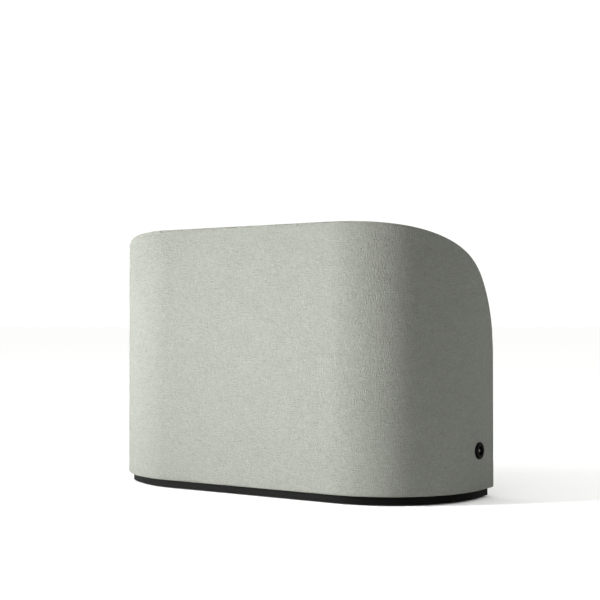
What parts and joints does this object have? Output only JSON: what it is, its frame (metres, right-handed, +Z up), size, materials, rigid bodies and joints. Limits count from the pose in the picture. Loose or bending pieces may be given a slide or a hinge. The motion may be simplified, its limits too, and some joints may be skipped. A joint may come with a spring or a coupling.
{
  "type": "smart speaker",
  "caption": "Table-top smart speaker: upright D-shaped body wrapped in woven cloth, sloping top with keys and a mute slider, recessed base, barrel power inlet.",
  "frame": {"origin": "centre of the footprint, on the surface that the speaker stands on", "axes": "+X to the right seen from the front, +Y towards the rear, +Z up; the flat front faces -Y"},
  "size_m": [0.2559, 0.084, 0.1647],
  "materials": {
    "sage_cloth": "woven melange cloth",
    "black_base": "satin",
    "black_plastic": "satin",
    "grey_plastic": "matte",
    "strip_plastic": "matte",
    "key_plastic": "satin",
    "orange_plastic": "matte",
    "clear_plastic": "frosted",
    "rubber": "matte",
    "steel": "zinc plated",
    "dark_steel": "black stoved",
    "aluminium": "anodised",
    "brass": "plated",
    "paper": "pressed pulp",
    "ferrite": "sintered",
    "silk": "coated silk",
    "spider_cloth": "impregnated cotton",
    "wadding": "polyester wadding",
    "foam": "closed-cell foam",
    "board": "solder mask",
    "lead": "pvc sheath",
    "copper": "enamelled copper"
  },
  "bodies": {
    "cabinet": {"amplifier_board": "board", "baffle_gasket": "foam", "baffle_screws": "steel", "base_plinth": "black_base", "base_screws": "steel", "board_screws": "steel", "chassis_plate": "black_plastic", "control_board": "board", "control_lead": "lead", "control_strip": "strip_plastic", "damping_pads": "wadding", "enclosure_tub": "black_plastic", "fabric_cover": "sage_cloth", "foot_pad": "rubber", "front_baffle": "black_plastic", "grille_shell": "grey_plastic", "heat_sink": "aluminium", "jack_bezel": "black_base", "jack_pin": "brass", "jack_socket": "black_plastic", "light_pipe": "clear_plastic", "main_board": "board", "microphones": "brass", "power_board": "board", "power_lead": "lead", "radiator_frame": "black_plastic", "radiator_screws": "steel", "radiator_surround": "rubber", "speaker_leads": "lead", "strip_screws": "steel", "tact_switches": "black_plastic", "tweeter_cup_left": "steel", "tweeter_cup_right": "steel", "tweeter_faceplate_left": "black_plastic", "tweeter_faceplate_right": "black_plastic", "tweeter_magnet_left": "aluminium", "tweeter_magnet_right": "aluminium", "tweeter_screws": "steel", "wifi_module": "steel", "woofer_basket": "dark_steel", "woofer_gasket": "foam", "woofer_magnet": "ferrite", "woofer_screws": "steel", "woofer_spider": "spider_cloth", "woofer_surround": "rubber", "woofer_terminals": "brass", "woofer_top_plate": "steel", "woofer_yoke": "steel"},
    "woofer_diaphragm": {"woofer_cone": "paper", "woofer_dust_cap": "paper", "woofer_coil_former": "aluminium", "woofer_voice_coil": "copper"},
    "passive_radiator": {"radiator_plate": "aluminium", "radiator_mass": "steel"},
    "dome_left": {"tweeter_dome_left": "silk"},
    "dome_right": {"tweeter_dome_right": "silk"},
    "volume_down_key": {"button_volume_down": "key_plastic"},
    "play_key": {"button_play": "key_plastic"},
    "volume_up_key": {"button_volume_up": "key_plastic"},
    "mute_knob": {"mute_slider": "orange_plastic"}
  },
  "joints": [
    {"name": "woofer_travel", "type": "slide", "parent": "cabinet", "child": "woofer_diaphragm", "axis": [0, -1, 0], "range_m": [-0.003, 0.003], "stiffness_N_per_m": 1100, "deforming": ["woofer_surround", "woofer_spider"]},
    {"name": "radiator_travel", "type": "slide", "parent": "cabinet", "child": "passive_radiator", "axis": [0, 1, 0], "range_m": [-0.003, 0.003], "stiffness_N_per_m": 700, "deforming": ["radiator_surround"]},
    {"name": "tweeter_left_travel", "type": "slide", "parent": "cabinet", "child": "dome_left", "axis": [-0.7071, -0.7071, 0], "range_m": [-0.0003, 0.0003], "stiffness_N_per_m": 2000},
    {"name": "tweeter_right_travel", "type": "slide", "parent": "cabinet", "child": "dome_right", "axis": [0.7071, -0.7071, 0], "range_m": [-0.0003, 0.0003], "stiffness_N_per_m": 2000},
    {"name": "volume_down_press", "type": "slide", "parent": "cabinet", "child": "volume_down_key", "axis": [0, -0.2542, -0.9671], "range_m": [0, 0.0004], "stiffness_N_per_m": 2500},
    {"name": "play_press", "type": "slide", "parent": "cabinet", "child": "play_key", "axis": [0, -0.2542, -0.9671], "range_m": [0, 0.0004], "stiffness_N_per_m": 2500},
    {"name": "volume_up_press", "type": "slide", "parent": "cabinet", "child": "volume_up_key", "axis": [0, -0.2542, -0.9671], "range_m": [0, 0.0004], "stiffness_N_per_m": 2500},
    {"name": "mute_slide", "type": "slide", "parent": "cabinet", "child": "mute_knob", "axis": [1, 0, 0], "range_m": [0, 0.0025]}
  ]
}
